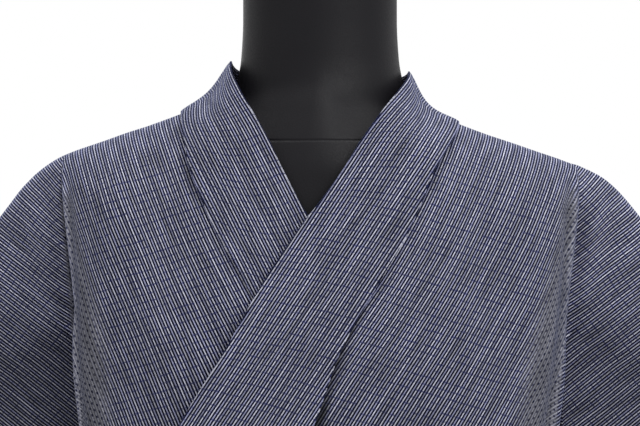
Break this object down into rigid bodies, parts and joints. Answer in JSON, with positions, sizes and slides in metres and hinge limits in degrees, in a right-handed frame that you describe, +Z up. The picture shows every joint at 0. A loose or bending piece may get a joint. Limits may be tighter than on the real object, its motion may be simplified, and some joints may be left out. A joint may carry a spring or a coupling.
{
  "type": "linen kimono on dress form",
  "caption": "Dark linen kimono crossed left over right with a plain sash, on a limbless dress form with a pole and a round base.",
  "frame": {"origin": "middle of the underside of the stand's round base", "axes": "+Z up; the garment's front faces -Y; +X is toward the wearer's left arm"},
  "size_m": [0.7852, 0.38, 1.5023],
  "materials": {
    "linen": "open linen weave, dark navy with pale grey-lavender stripes",
    "sash_cotton": "plain dark navy cotton",
    "form_leatherette": "smooth black leatherette",
    "cap_black": "satin black",
    "stand_black": "satin black paint"
  },
  "bodies": {
    "root": {"body_left": "linen", "body_right": "linen", "okumi_left": "linen", "okumi_right": "linen", "sleeve_left": "linen", "sleeve_right": "linen", "collar": "linen", "sash": "sash_cotton", "form_torso": "form_leatherette", "neck_cap": "cap_black", "stand_pole": "stand_black", "stand_base": "stand_black"}
  },
  "joints": []
}
